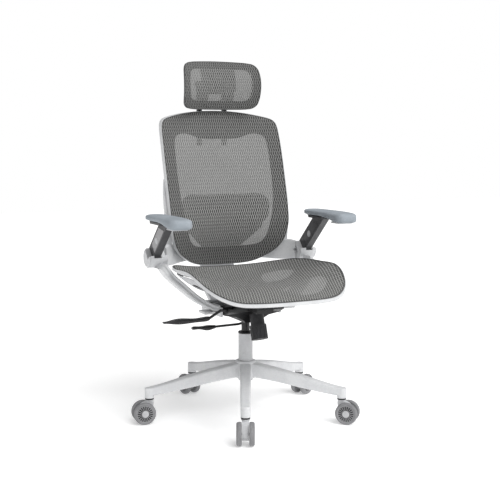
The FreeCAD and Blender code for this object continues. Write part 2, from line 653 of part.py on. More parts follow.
PAD = [
    # y, width, bottom z, top z, corner
    (90, 46, 678.5, 688, 4.5), (83, 60, 675.5, 690, 6.5), (64, 70, 672.4, 691.5, 8), (20, 73, 672.0, 692, 8), (-48, 76, 672.0, 692.5, 8), (-90, 78, 668.5, 693, 8.5),
    (-136, 78, 659.5, 692, 10), (-163, 73, 658, 689, 11), (-175, 60, 661.5, 683, 9), (-180, 44, 667, 677.5, 5),
]
wires = [rrect((295, y, (a + b) / 2), (1, 0, 0), (0, 0, 1), w, b - a, r) for y, w, a, b, r in PAD]
pad = loft(wires)
pad = pad.cut(box(250, -46.6, 650, 340, 44.6, 671.3))
pad = max(pad.Solids, key=lambda q: q.Volume)
save("left_arm_pad", pad)
save("right_arm_pad", mirror_x(pad))

# ---------------------------------------------------------------- headrest
posts = []
for sx in (-1, 1):
    p = box(POST_X * sx - 8.4, 281.0, 912, POST_X * sx + 8.4, 291.0, HEAD_Z - 10)
    e = fuse([box(POST_X * sx - 8.4, 281, HEAD_Z - 12, POST_X * sx + 8.4, 291, HEAD_Z), box(POST_X * sx - 8.4, HEAD_Y - 6, HEAD_Z - 8, POST_X * sx + 8.4, 291, HEAD_Z), rod((POST_X * sx - 8.4, HEAD_Y, HEAD_Z), (POST_X * sx + 8.4, HEAD_Y, HEAD_Z), 8)])
    posts.append(fuse([p, e]))
bridge_p = box(-POST_X, 285, 1094, POST_X, 291, 1110)
pin = rod((-64, HEAD_Y, HEAD_Z), (64, HEAD_Y, HEAD_Z), 3.5)
posts = fuse(posts + [bridge_p, pin])
save("headrest_posts", posts)


def head_y(x, z):
    return 212.0 + 27.0 * ((z - 1120) / 82.0) ** 2 - 34.0 * (x / 142.0) ** 2


HEAD_HALF = [(0, 1038.5), (60, 1038.7), (104, 1040), (125, 1044), (136, 1054), (140.5, 1072), (142.5, 1100), (143, 1130), (141.5, 1158), (137, 1180), (126, 1193.5), (105, 1199), (60, 1202.5), (0, 1204)]
HEAD = dense(both(HEAD_HALF), 64)
if sum(HEAD[i - 1][0] * HEAD[i][1] - HEAD[i][0] * HEAD[i - 1][1] for i in range(len(HEAD))) < 0:
    HEAD = HEAD[::-1]
hm = slab_y(head_y, -160, 160, 11, 1020, 1222, 11, 0, MESH_T).common(prism_y(HEAD))
save("headrest_mesh", hm)
hf = slab_y(head_y, -160, 160, 11, 1020, 1222, 11, MESH_T + 0.3, 11.0).common(prism_y(offset2d(HEAD, -0.6)))
hin = dense(both([(0, 1068), (60, 1068), (96, 1069), (110, 1076), (116, 1096), (118, 1130), (115, 1158), (107, 1171), (88, 1176), (50, 1177.5), (0, 1178)]), 48)
hf = hf.cut(prism_y(hin))
# cross bars of the frame that carry the bracket plate
hbars = [
    slab_y(head_y, -160, 160, 11, 1020, 1222, 11, MESH_T + 11.3, 7.0).common(box(-64, 100, 1100, 64, 400, 1196)),
]
br = fuse(hbars)
lugs = []
for sx in (-1, 1):
    for o in (-1, 1):
        xc = POST_X * sx + o * 12.2
        y0 = head_y(xc, HEAD_Z) + 12
        lugs.append(fuse([box(xc - 3, y0, HEAD_Z - 9, xc + 3, HEAD_Y, HEAD_Z + 9), rod((xc - 3, HEAD_Y, HEAD_Z), (xc + 3, HEAD_Y, HEAD_Z), 9)]))
legs = []
for sx in (-1, 1):
    legs.append(slab_y(head_y, -160, 160, 11, 1020, 1222, 11, MESH_T + 11.3, 7.0).common(box(POST_X * sx - 11, 100, 1046, POST_X * sx + 11, 400, 1104)))
br = fuse([br] + lugs + legs)
br = br.cut(rod((-80, HEAD_Y, HEAD_Z), (80, HEAD_Y, HEAD_Z), 3.5 + RUN))
br = br.cut(hf)
save("headrest_frame", hf)
save("headrest_bracket", br)

# ---------------------------------------------------------------- screws that hold the back frame
screws = []
for sx in (-1, 1):
    for z in (620, 760):
        y = back_y(205, z) + MESH_T + 0.6 + FRAME_DEPTH + 14.5
        screws.append(rod((sx * 216, y, z), (sx * 216, y + 3.2, z), 5.0))
for sx in (-1, 1):
    screws.append(rod((sx * 130, -14, 363.8), (sx * 130, -14, 360.3), 6.0))
    screws.append(rod((sx * 150, -14, 363.8), (sx * 150, -14, 360.3), 6.0))
save("back_screws", Part.makeCompound(screws))


# ---------------------------------------------------------------- casters
def caster(i):
    ax = (TRAIL, 0, WHEEL_RADIUS)
    body = fuse(
        [
            rod((TRAIL, -11, WHEEL_RADIUS), (TRAIL, 11, WHEEL_RADIUS), 20.5),
            rod((0, 0, 58), (0, 0, 80), 13.5).common(box(-20, -11, 50, 20, 11, 80)),
            rod((0, 0, 75.5), (0, 0, 80), 13.5),
            poly([(-12, -11, 70), (-9, -11, 52), (1, -11, 30), (TRAIL, -11, 30), (TRAIL + 18, -11, 46), (TRAIL + 8, -11, 66), (12, -11, 74)], (0, 22, 0)),
        ]
    )
    body = body.cut(rod((0, 0, 62), (0, 0, 81), CASTER_STEM_RADIUS))
    body = body.cut(rod((TRAIL, -12, WHEEL_RADIUS), (TRAIL, 12, WHEEL_RADIUS), AXLE_RADIUS))
    stem = fuse([rod((0, 0, 62), (0, 0, 112.5), CASTER_STEM_RADIUS), rod((0, 0, 80), (0, 0, SOCKET_Z - 0.4), 11.5)])
    axle = rod((TRAIL, -26.5, WHEEL_RADIUS), (TRAIL, 26.5, WHEEL_RADIUS), AXLE_RADIUS)
    w0, w1 = WHEEL_INNER, WHEEL_INNER + WHEEL_THICK
    r = WHEEL_RADIUS
    prof = [
        (AXLE_RADIUS + 0.05, w0), (r - 2.5, w0), (r, w0 + 2.5), (r, w1 - 5), (r - 1.2, w1 - 2), (r - 4, w1), (r - 8, w1 - 0.5),
        (r - 9.5, w1 - 3.5), (16, w1 - 3.5), (14.5, w1), (6, w1 + 0.6), (AXLE_RADIUS + 0.05, w1 + 0.6),
    ]
    w = Part.makePolygon([V(TRAIL, b, WHEEL_RADIUS + a) for a, b in prof + [prof[0]]])
    wheel = Part.Face(w).revolve(V(TRAIL, 0, WHEEL_RADIUS), V(0, 1, 0), 360)
    wheel2 = wheel.mirror(V(0, 0, 0), V(0, 1, 0))
    out = {
        f"caster_{i+1}_fork": body,
        f"caster_{i+1}_pins": Part.makeCompound([stem, axle]),
        f"caster_{i+1}_wheel_a": wheel,
        f"caster_{i+1}_wheel_b": wheel2,
    }
    a = LEG_ANGLES[i]
    for n, s in out.items():
        s.translate(V(STEM_RADIUS, 0, 0))
        s.rotate(V(0, 0, 0), V(0, 0, 1), a)
        save(n, s)


for i in range(5):
    caster(i)
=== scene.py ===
import json
import math

import bmesh
import bpy
from mathutils import Matrix, Vector

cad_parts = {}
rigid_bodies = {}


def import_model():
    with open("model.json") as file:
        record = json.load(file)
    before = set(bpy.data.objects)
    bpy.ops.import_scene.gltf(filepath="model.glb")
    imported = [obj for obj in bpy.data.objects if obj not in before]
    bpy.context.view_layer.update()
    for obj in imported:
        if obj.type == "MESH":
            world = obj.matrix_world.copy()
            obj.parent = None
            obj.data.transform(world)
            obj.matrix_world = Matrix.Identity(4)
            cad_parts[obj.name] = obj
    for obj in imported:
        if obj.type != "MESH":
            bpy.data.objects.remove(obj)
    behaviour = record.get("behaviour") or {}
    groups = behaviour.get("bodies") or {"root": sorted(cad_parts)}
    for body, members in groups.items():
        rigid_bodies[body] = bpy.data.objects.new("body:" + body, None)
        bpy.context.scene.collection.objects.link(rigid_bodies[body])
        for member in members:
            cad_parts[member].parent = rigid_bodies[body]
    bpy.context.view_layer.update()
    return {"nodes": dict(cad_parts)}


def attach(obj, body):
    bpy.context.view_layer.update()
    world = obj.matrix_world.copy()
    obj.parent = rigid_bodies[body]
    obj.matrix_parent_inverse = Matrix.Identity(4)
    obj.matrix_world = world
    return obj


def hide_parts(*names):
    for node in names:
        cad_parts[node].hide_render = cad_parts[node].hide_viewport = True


for left_over in list(bpy.data.objects):
    bpy.data.objects.remove(left_over)

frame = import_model()
NODES = frame["nodes"]
MM = 0.001


# ------------------------------------------------------------------ surfaces shared with the CAD (mm)
def pchip(x, xs, ys):
    n = len(xs)
    if x <= xs[0]:
        return ys[0] + (x - xs[0]) * (ys[1] - ys[0]) / (xs[1] - xs[0])
    if x >= xs[-1]:
        return ys[-1] + (x - xs[-1]) * (ys[-1] - ys[-2]) / (xs[-1] - xs[-2])
    h = [xs[i + 1] - xs[i] for i in range(n - 1)]
    d = [(ys[i + 1] - ys[i]) / h[i] for i in range(n - 1)]
    m = [d[0]] + [(d[i - 1] * h[i] + d[i] * h[i - 1]) / (h[i] + h[i - 1]) for i in range(1, n - 1)] + [d[-1]]
    for i in range(n - 1):
        if x <= xs[i + 1]:
            t = (x - xs[i]) / h[i]
            return (
                (2 * t**3 - 3 * t**2 + 1) * ys[i]
                + (t**3 - 2 * t**2 + t) * h[i] * m[i]
                + (-2 * t**3 + 3 * t**2) * ys[i + 1]
                + (t**3 - t**2) * h[i] * m[i + 1]
            )


BACK_HALF = 220.0
EZ = [470, 495, 520, 560, 600, 640, 720, 800, 900, 990, 1040]
EY = [133, 128, 122, 115, 110, 109, 125, 148, 177, 208, 226]
CZ = [470, 520, 600, 700, 900, 1040]
CY_ = [76, 66, 50, 42, 38, 34]

# inner edge of the darker hem band on the back net: the doubled net over the frame, plus painted shade standing in for
# the shaded inner wall of the frame seen through the net
HEM_SHADE_BAND_HALF = [(0, 560), (50, 561), (98, 565), (124, 572), (138, 586), (147, 604), (156, 640), (165, 680), (172, 720), (176, 780), (177, 840), (176, 900), (173, 930), (166, 944), (150, 952), (122, 953), (96, 945), (74, 938), (40, 935), (0, 935)]


def back_y(x, z):
    return pchip(z, EZ, EY) + pchip(z, CZ, CY_) * (1 - (x / BACK_HALF) ** 2)


OUT_HALF = [(0, 496.5), (45, 497.2), (85, 500.5), (115, 507.5), (143, 521), (168, 537.5), (188, 556), (203, 580), (212, 608), (217.5, 640), (220, 680), (221, 740), (221.5, 800), (221.5, 860), (221, 910), (220, 950), (218, 978), (213.5, 993), (203, 1003), (185, 1009.5), (150, 1017.5), (110, 1024), (60, 1029.5), (0, 1031.5)]
IN_HALF = [(0, 548), (50, 549), (100, 553), (135, 561), (152, 576), (161, 600), (171, 640), (181, 680), (187, 720), (190, 780), (191, 840), (190, 900), (187, 935), (180, 955), (166, 966), (140, 970), (114, 966), (92, 957), (60, 954), (0, 954)]


def head_y(x, z):
    return 212.0 + 27.0 * ((z - 1120) / 82.0) ** 2 - 34.0 * (x / 142.0) ** 2


HEAD_HALF = [(0, 1038.5), (60, 1038.7), (104, 1040), (125, 1044), (136, 1054), (140.5, 1072), (142.5, 1100), (143, 1130), (141.5, 1158), (137, 1180), (126, 1193.5), (105, 1199), (60, 1202.5), (0, 1204)]
# inner edge of the headrest net's darker hem band, which is partly painted shade of the frame behind the net
HEAD_IN = [(0, 1068), (60, 1068), (96, 1069), (110, 1076), (116, 1096), (118, 1130), (115, 1158), (107, 1171), (88, 1176), (50, 1177.5), (0, 1178)]

SEAT_HALF, SEAT_MID, SEAT_FRONT, SEAT_REAR, SEAT_NF, SEAT_NR = 264.0, -82.0, -349.0, 166.0, 2.94, 2.5
RIMY = [-420, -349, -330, -285, -240, -195, -150, -100, -50, 0, 50, 100, 130, 166, 220]
RIMZ = [436, 443, 445, 464, 487, 508, 521, 523, 521, 521, 520, 514, 506.5, 494, 476]
CEY = [-420, -349, -325, -300, -260, -210, -140, -60, 20, 90, 130, 166, 220]
CEZ = [426, 443, 453, 461, 470, 473, 469, 465, 467, 476, 484, 494, 512]


def seat_rim(t):
    c, s = math.cos(t), math.sin(t)
    n = SEAT_NF if s < 0 else SEAT_NR
    ext = (SEAT_MID - SEAT_FRONT) if s < 0 else (SEAT_REAR - SEAT_MID)
    return (SEAT_HALF * math.copysign(abs(c) ** (2 / n), c), SEAT_MID + ext * math.copysign(abs(s) ** (2 / n), s))


def seat_z(x, y, s, yr):
    return pchip(y, CEY, CEZ) + (pchip(yr, RIMY, RIMZ) - pchip(yr, CEY, CEZ)) * s**2.6


# ------------------------------------------------------------------ curve and mesh helpers
def both(half):
    return half + [(-x, z) for x, z in half[-2:0:-1]]


def closed_spline(points, n):
    """Closed centripetal curve through the points, as n points evenly spaced along it."""
    p = [Vector(q) for q in points]
    m = len(p)
    fine = []
    for i in range(m):
        p0, p1, p2, p3 = p[i - 1], p[i], p[(i + 1) % m], p[(i + 2) % m]
        t0 = 0.0
        t1 = t0 + max((p1 - p0).length, 1e-9) ** 0.5
        t2 = t1 + max((p2 - p1).length, 1e-9) ** 0.5
        t3 = t2 + max((p3 - p2).length, 1e-9) ** 0.5
        for k in range(12):
            t = t1 + (t2 - t1) * k / 12
            a1 = p0 * ((t1 - t) / (t1 - t0)) + p1 * ((t - t0) / (t1 - t0))
            a2 = p1 * ((t2 - t) / (t2 - t1)) + p2 * ((t - t1) / (t2 - t1))
            a3 = p2 * ((t3 - t) / (t3 - t2)) + p3 * ((t - t2) / (t3 - t2))
            b1 = a1 * ((t2 - t) / (t2 - t0)) + a2 * ((t - t0) / (t2 - t0))
            b2 = a2 * ((t3 - t) / (t3 - t1)) + a3 * ((t - t1) / (t3 - t1))
            fine.append(b1 * ((t2 - t) / (t2 - t1)) + b2 * ((t - t1) / (t2 - t1)))
    seg = [(fine[(i + 1) % len(fine)] - fine[i]).length for i in range(len(fine))]
    total, out, i, run = sum(seg), [], 0, 0.0
    for k in range(n):
        want = total * k / n
        while run + seg[i] < want:
            run += seg[i]
            i += 1
        out.append(fine[i].lerp(fine[(i + 1) % len(fine)], (want - run) / max(seg[i], 1e-9)))
    return out


def ray_radius(outline, centre, ang):
    """Distance from centre to a closed outline along the direction ang."""
    d = Vector((math.cos(ang), math.sin(ang)))
    best = 0.0
    n = len(outline)
    for i in range(n):
        a, b = outline[i] - centre, outline[(i + 1) % n] - centre
        e = b - a
        den = d.x * e.y - d.y * e.x
        if abs(den) < 1e-12:
            continue
        t = (a.x * e.y - a.y * e.x) / den
        u = (a.x * d.y - a.y * d.x) / den
        if t > 0 and -1e-9 <= u <= 1 + 1e-9:
            best = max(best, t)
    return best


def make_object(name, verts, faces, mats, face_mat=None, uv=None, smooth=True, floats=None):
    me = bpy.data.meshes.new(name)
    me.from_pydata([tuple(v) for v in verts], [], faces)
    for m in mats:
        me.materials.append(m)
    if face_mat is not None:
        me.polygons.foreach_set("material_index", face_mat)
    me.polygons.foreach_set("use_smooth", [smooth] * len(me.polygons))
    if uv is not None:
        layer = me.uv_layers.new(name="weave")
        for loop in me.loops:
            layer.data[loop.index].uv = uv[loop.vertex_index]
    for key, values in (floats or {}).items():
        a = me.attributes.new(key, "FLOAT", "POINT")
        a.data.foreach_set("value", values)
    me.update()
    ob = bpy.data.objects.new(name, me)
    bpy.context.scene.collection.objects.link(ob)
    return ob


def tube_along(name, points, radius, mat, closed=True, sides=8):
    cu = bpy.data.curves.new(name, "CURVE")
    cu.dimensions = "3D"
    cu.bevel_depth = radius
    cu.bevel_resolution = max(1, sides // 4)
    sp = cu.splines.new("POLY")
    sp.points.add(len(points) - 1)
    for q, p in zip(sp.points, points):
        q.co = (p[0], p[1], p[2], 1.0)
    sp.use_cyclic_u = closed
    tmp = bpy.data.objects.new(name + "_tmp", cu)
    bpy.context.scene.collection.objects.link(tmp)
    bpy.context.view_layer.update()
    me = bpy.data.meshes.new_from_object(tmp)
    bpy.data.objects.remove(tmp)
    me.name = name
    me.materials.clear()
    me.materials.append(mat)
    me.polygons.foreach_set("use_smooth", [True] * len(me.polygons))
    ob = bpy.data.objects.new(name, me)
    bpy.context.scene.collection.objects.link(ob)
    return ob


def place(ob, body, slot, *nodes):
    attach(ob, body)
    if nodes:
        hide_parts(*nodes)
    return ob


# ------------------------------------------------------------------ materials
def lin(v):
    v = v / 255.0
    return v / 12.92 if v <= 0.04045 else ((v + 0.055) / 1.055) ** 2.4


def rgb(r, g=None, b=None):
    g = r if g is None else g
    b = r if b is None else b
    return (lin(r), lin(g), lin(b), 1.0)


class Mat:
    """A node material with short helpers."""

    def __init__(self, name):
        self.m = bpy.data.materials.new(name)
        self.m.use_nodes = True
        self.t = self.m.node_tree
        self.t.nodes.clear()
        self.out = self.t.nodes.new("ShaderNodeOutputMaterial")
        self.b = self.t.nodes.new("ShaderNodeBsdfPrincipled")
        self.t.links.new(self.b.outputs[0], self.out.inputs[0])

    def n(self, kind, **kw):
        node = self.t.nodes.new("ShaderNode" + kind)
        for k, v in kw.items():
            setattr(node, k, v)
        return node

    def link(self, a, b):
        self.t.links.new(a, b)

    def put(self, node, key, value):
        s = node.inputs[key]
        if isinstance(value, bpy.types.NodeSocket):
            self.link(value, s)
        else:
            s.default_value = value

    def math(self, op, a, b=0.0, c=0.0, clamp=False):
        node = self.n("Math", operation=op, use_clamp=clamp)
        self.put(node, 0, a)
        self.put(node, 1, b)
        if op in ("MULTIPLY_ADD", "SMOOTH_MIN", "SMOOTH_MAX", "WRAP", "COMPARE"):
            self.put(node, 2, c)
        return node.outputs[0]

    def noise(self, vec, scale, detail=2.0, rough=0.5):
        node = self.n("TexNoise")
        self.link(vec, node.inputs["Vector"])
        node.inputs["Scale"].default_value = scale
        node.inputs["Detail"].default_value = detail
        node.inputs["Roughness"].default_value = rough
        return node.outputs["Fac"]

    def ramp(self, fac, lo, hi, a, b):
        node = self.n("MapRange", interpolation_type="SMOOTHSTEP")
        self.put(node, "Value", fac)
        node.inputs["From Min"].default_value = lo
        node.inputs["From Max"].default_value = hi
        node.inputs["To Min"].default_value = a
        node.inputs["To Max"].default_value = b
        return node.outputs["Result"]

    def mix(self, fac, a, b):
        node = self.n("Mix", data_type="RGBA")
        self.put(node, 0, fac)
        self.put(node, 6, a)
        self.put(node, 7, b)
        return node.outputs[2]

    def bump(self, height, strength, distance, normal=None):
        node = self.n("Bump")
        node.inputs["Strength"].default_value = strength
        node.inputs["Distance"].default_value = distance
        self.link(height, node.inputs["Height"])
        if normal is not None:
            self.link(normal, node.inputs["Normal"])
        return node.outputs[0]


def coords(k):
    return k.n("TexCoord").outputs["Object"]


def plastic(name, dark, light, rough=(0.4, 0.55), grain=1500.0, depth=0.00005, strength=0.35, round_edge=0.0009, spec=0.4, sheen=0.0, coat=0.0, metal=0.0, streak=None):
    """Moulded plastic or paint: slow mottling, a fine eroded grain, varied gloss and soft edges that catch light."""
    k = Mat(name)
    co = coords(k)
    slow = k.noise(co, 14.0, 3.0, 0.55)
    mid = k.noise(co, 160.0, 3.0, 0.6)
    fine = k.noise(co, grain, 2.0, 0.6)
    both_ = k.math("MULTIPLY_ADD", mid, 0.35, k.math("MULTIPLY", slow, 0.65))
    k.put(k.b, "Base Color", k.mix(k.ramp(both_, 0.36, 0.64, 0.0, 1.0), dark, light))
    k.put(k.b, "Roughness", k.ramp(k.math("MULTIPLY_ADD", fine, 0.4, k.math("MULTIPLY", mid, 0.6)), 0.3, 0.7, rough[0], rough[1]))
    k.b.inputs["Specular IOR Level"].default_value = spec
    k.b.inputs["Metallic"].default_value = metal
    if coat:
        k.b.inputs["Coat Weight"].default_value = coat
        k.b.inputs["Coat Roughness"].default_value = 0.18
    normal = None
    if round_edge:
        bev = k.n("Bevel", samples=4)
        bev.inputs["Radius"].default_value = round_edge
        normal = bev.outputs[0]
    height = fine
    if streak is not None:
        st = k.n("Mapping")
        k.link(co, st.inputs["Vector"])
        st.inputs["Scale"].default_value = streak
        height = k.noise(st.outputs[0], 1.0, 3.0, 0.6)
    k.link(k.bump(height, strength, depth, normal), k.b.inputs["Normal"])
    return k.m


def weave(name, pitch=6.4, wave=1.5, period=24.0, slant=0.0, light=rgb(168, 168, 166), ground=rgb(84, 84, 83), dark=rgb(46, 46, 46), hole=0.16, hem_shade_band=True):
    """Open net: pairs of wavy lengthwise threads that part and meet, fine cross threads, and small holes. Sizes are in mm."""
    k = Mat(name)
    uvn = k.n("UVMap", uv_map="weave")
    sep = k.n("SeparateXYZ")
    k.link(uvn.outputs[0], sep.inputs[0])
    # the UV map is in metres; the pattern is worked out in millimetres
    wob = k.noise(coords(k), 22.0, 2.0, 0.5)
    u0 = k.math("MULTIPLY_ADD", k.math("SUBTRACT", wob, 0.5), 2.2, k.math("MULTIPLY", sep.outputs[0], 1000.0))
    v = k.math("MULTIPLY", sep.outputs[1], 1000.0)
    u = k.math("MULTIPLY_ADD", v, slant, u0)
    tri = k.math("PINGPONG", v, period / 2)
    swing = k.math("MULTIPLY", k.math("SUBTRACT", k.math("DIVIDE", tri, period / 2), 0.5), 2.0 * wave)

    def threads(shift, sign, width):
        a = k.math("MULTIPLY_ADD", swing, sign, u)
        a = k.math("DIVIDE", k.math("ADD", a, shift), pitch)
        f = k.math("ABSOLUTE", k.math("SUBTRACT", k.math("FRACT", a), 0.5))
        return k.ramp(f, 0.5 - 0.0, 0.5 - width, 1.0, 0.0)

    def ridge(shift, sign, width):
        a = k.math("MULTIPLY_ADD", swing, sign, u)
        a = k.math("DIVIDE", k.math("ADD", a, shift), pitch)
        f = k.math("ABSOLUTE", k.math("SUBTRACT", k.math("FRACT", a), 0.5))
        return k.ramp(f, 0.0, width, 1.0, 0.0)

    main = ridge(0.0, 1.0, 0.21)
    second = ridge(pitch * 0.5, -1.0, 0.17)
    knots = k.ramp(k.math("ABSOLUTE", k.math("SINE", k.math("MULTIPLY", v, math.pi / 1.6))), 0.25, 0.95, 0.72, 1.0)
    cross = k.ramp(k.math("ABSOLUTE", k.math("SINE", k.math("MULTIPLY", v, math.pi / 2.3))), 0.45, 0.9, 0.0, 1.0)
    lit = k.math("MULTIPLY", k.math("MAXIMUM", main, k.math("MULTIPLY", second, 0.72)), knots)
    cover = k.math("MAXIMUM", lit, k.math("MULTIPLY", cross, 0.8), clamp=True)
    patch = k.noise(coords(k), 9.0, 2.0, 0.5)
    lit_c = k.mix(k.ramp(patch, 0.35, 0.65, 0.0, 1.0), tuple(c * 0.93 for c in light[:3]) + (1.0,), light)
    col = k.mix(k.ramp(cross, 0.0, 1.0, 0.0, 1.0), dark, ground)
    col = k.mix(lit, col, lit_c)
    open_ = k.ramp(cover, 0.05, 0.5, hole * 2.0, 0.0)
    # hem band: darker and closed; part is the doubled net over the frame, the rest is painted shade for the frame's
    # shaded inner wall behind the net
    if hem_shade_band:
        at = k.n("Attribute", attribute_name="hem_shade_band")
        b = at.outputs["Fac"]
        col = k.mix(k.math("MULTIPLY", b, 0.34), col, rgb(52, 52, 52))
        open_ = k.math("MULTIPLY", open_, k.math("SUBTRACT", 1.0, b))
    k.put(k.b, "Base Color", col)
    k.put(k.b, "Roughness", k.ramp(lit, 0.0, 1.0, 0.92, 0.62))
    k.b.inputs["Specular IOR Level"].default_value = 0.25
    k.b.inputs["Sheen Weight"].default_value = 0.12
    k.b.inputs["Sheen Roughness"].default_value = 0.5
    height = k.math("MULTIPLY_ADD", cross, 0.3, lit)
    k.link(k.bump(height, 0.8, 0.0007), k.b.inputs["Normal"])
    k.link(k.math("SUBTRACT", 1.0, open_, clamp=True), k.b.inputs["Alpha"])
    return k.m


M = {}
M["white_nylon"] = plastic("white_nylon_look", rgb(207, 208, 210), rgb(220, 221, 222), (0.34, 0.5), 1700.0, 0.00004, 0.3, 0.0016, 0.45)
M["white_enamel"] = plastic("white_enamel_look", rgb(190, 191, 193), rgb(202, 203, 205), (0.26, 0.38), 2200.0, 0.00002, 0.25, 0.0008, 0.5, coat=0.2)
M["light_grey_plastic"] = plastic("light_grey_plastic_look", rgb(184, 185, 188), rgb(200, 201, 203), (0.42, 0.58), 1500.0, 0.00005, 0.35, 0.0009)
M["black_plastic"] = plastic("black_plastic_look", rgb(22, 22, 23), rgb(38, 38, 40), (0.38, 0.55), 1400.0, 0.00006, 0.4, 0.0009, 0.45)
M["black_enamel"] = plastic("black_enamel_look", rgb(17, 17, 18), rgb(30, 30, 32), (0.3, 0.48), 1900.0, 0.00004, 0.35, 0.001, 0.5)
M["dark_knob_plastic"] = plastic("dark_knob_look", rgb(36, 36, 38), rgb(54, 54, 56), (0.42, 0.6), 1300.0, 0.00006, 0.4, 0.0008)
M["bright_steel"] = plastic("bright_steel_look", rgb(168, 168, 170), rgb(196, 196, 198), (0.22, 0.36), 2600.0, 0.00002, 0.3, 0.0004, 0.5, metal=1.0, streak=(180.0, 180.0, 2600.0))
M["spring_steel"] = plastic("spring_steel_look", rgb(96, 96, 98), rgb(128, 128, 130), (0.3, 0.45), 2400.0, 0.00002, 0.3, 0.0, 0.5, metal=1.0)
M["mid_grey_plastic"] = plastic("mid_grey_plastic_look", rgb(74, 75, 76), rgb(90, 91, 92), (0.42, 0.6), 1500.0, 0.00005, 0.35, 0.0009)
M["dark_grey_plastic"] = plastic("dark_grey_plastic_look", rgb(62, 62, 64), rgb(80, 80, 82), (0.38, 0.54), 1500.0, 0.00005, 0.35, 0.0011, 0.45)
M["blue_grey_pu"] = plastic("blue_grey_pu_look", rgb(150, 158, 165), rgb(163, 170, 177), (0.55, 0.72), 900.0, 0.00012, 0.45, 0.0, 0.3)
M["caster_grey"] = plastic("caster_grey_look", rgb(186, 187, 189), rgb(202, 203, 205), (0.4, 0.55), 1500.0, 0.00005, 0.35, 0.0012)
M["wheel_grey"] = plastic("tyre_look", rgb(122, 122, 124), rgb(142, 142, 144), (0.55, 0.75), 1200.0, 0.00008, 0.45, 0.0, 0.35)
M["wheel_disc"] = plastic("wheel_disc_look", rgb(128, 128, 130), rgb(146, 146, 148), (0.4, 0.55), 1500.0, 0.00005, 0.35, 0.0)
M["wheel_cap"] = plastic("wheel_cap_look", rgb(178, 178, 180), rgb(196, 196, 198), (0.34, 0.48), 1600.0, 0.00004, 0.3, 0.0, 0.45)
# near-black colour for the wheel slots: painted shade inside the open spokes
M["shadow_slot"] = plastic("shadow_slot_look", rgb(24, 24, 25), rgb(36, 36, 37), (0.7, 0.85), 1200.0, 0.00005, 0.3, 0.0, 0.2)
M["panel_grey"] = plastic("panel_look", rgb(138, 137, 139), rgb(158, 157, 159), (0.3, 0.44), 1900.0, 0.00003, 0.3, 0.0006, 0.5, streak=(2600.0, 160.0, 160.0))
M["hem"] = plastic("hem_look", rgb(74, 74, 74), rgb(96, 96, 95), (0.75, 0.9), 1100.0, 0.0002, 0.6, 0.0, 0.2)
M["net_back"] = weave("net_back_look", pitch=8.0, wave=2.3, period=24.0, light=rgb(196, 196, 194), ground=rgb(88, 88, 87), dark=rgb(48, 48, 48))
M["net_head"] = weave("net_head_look", pitch=7.4, wave=2.0, period=20.0, light=rgb(192, 192, 190), ground=rgb(88, 88, 87), dark=rgb(48, 48, 48))
M["net_seat"] = weave("net_seat_look", pitch=9.0, wave=2.3, period=17.0, slant=0.22, hole=0.12, light=rgb(212, 212, 209), ground=rgb(80, 80, 79), dark=rgb(36, 36, 36))

SLOT_LOOK = {
    "white_nylon": "white_nylon", "white_enamel": "white_enamel", "light_grey_plastic": "light_grey_plastic", "black_plastic": "black_plastic",
    "black_enamel": "black_enamel", "dark_knob_plastic": "dark_knob_plastic", "bright_steel": "bright_steel", "spring_steel": "spring_steel",
    "grey_mesh": "hem", "mid_grey_plastic": "mid_grey_plastic", "dark_grey_plastic": "dark_grey_plastic", "blue_grey_pu": "blue_grey_pu",
    "caster_grey": "caster_grey", "wheel_grey": "wheel_grey",
}
for name, ob in NODES.items():
    for s in ob.material_slots:
        key = SLOT_LOOK.get((s.material.name if s.material else "").split(".")[0])
        if key:
            s.material = M[key]


# ------------------------------------------------------------------ stretched net panels
def ring_sheet(name, centre, rings, count, point, uv_of, mats):
    """A sheet as rings about a centre. rings is a list of (radius function of the angle, value of the darker hem band,
    which is partly painted shade).
    """
    verts, uv, hem_shade_band_values = [], [], []
    angs = [2 * math.pi * i / count for i in range(count)]
    for rad, bv in rings:
        for a in angs:
            r = rad(a)
            x, z = centre[0] + r * math.cos(a), centre[1] + r * math.sin(a)
            verts.append(point(x, z))
            uv.append(uv_of(x, z))
            hem_shade_band_values.append(bv)
    verts.append(point(*centre))
    uv.append(uv_of(*centre))
    hem_shade_band_values.append(0.0)
    faces = []
    last = len(verts) - 1
    for i in range(count):
        faces.append((last, i, (i + 1) % count))
    for j in range(len(rings) - 1):
        for i in range(count):
            a, b = j * count + i, j * count + (i + 1) % count
            faces.append((a, a + count, b + count, b))
    ob = make_object(name, verts, faces, mats, uv=uv, floats={"hem_shade_band": hem_shade_band_values})
    return ob, verts[len(verts) - 1 - count:len(verts) - 1]


def arc_table(f, lo, hi, step):
    """Running length along a profile, so a flat pattern keeps its size on the curve."""
    out, run, q = [(lo, 0.0)], 0.0, lo
    prev = f(lo)
    while q < hi:
        q += step
        now = f(q)
        run += math.hypot(step, now - prev)
        out.append((q, run))
        prev = now
    xs, ys = [a for a, _ in out], [b for _, b in out]
    return lambda v: pchip(v, xs, ys)


def outline_rings(outer, inner, centre, count, n_in, n_hem_shade_band):
    cen = Vector(centre)
    ro, ri = {}, {}
    for i in range(count):
        a = 2 * math.pi * i / count
        ro[round(a, 9)] = ray_radius(outer, cen, a)
        ri[round(a, 9)] = ray_radius(inner, cen, a)
    rings = []
    for j in range(1, n_in + 1):
        s = j / n_in
        rings.append((lambda a, s=s: ri[round(a, 9)] * s, 0.0))
    # the rings from the inner outline outward carry the hem band: doubled net plus painted shade of the frame behind
    rings.append((lambda a: ri[round(a, 9)] + 1.6, 1.0))
    for j in range(1, n_hem_shade_band + 1):
        s = j / n_hem_shade_band
        rings.append((lambda a, s=s: (ri[round(a, 9)] + 1.6) * (1 - s) + ro[round(a, 9)] * s, 1.0))
    return rings


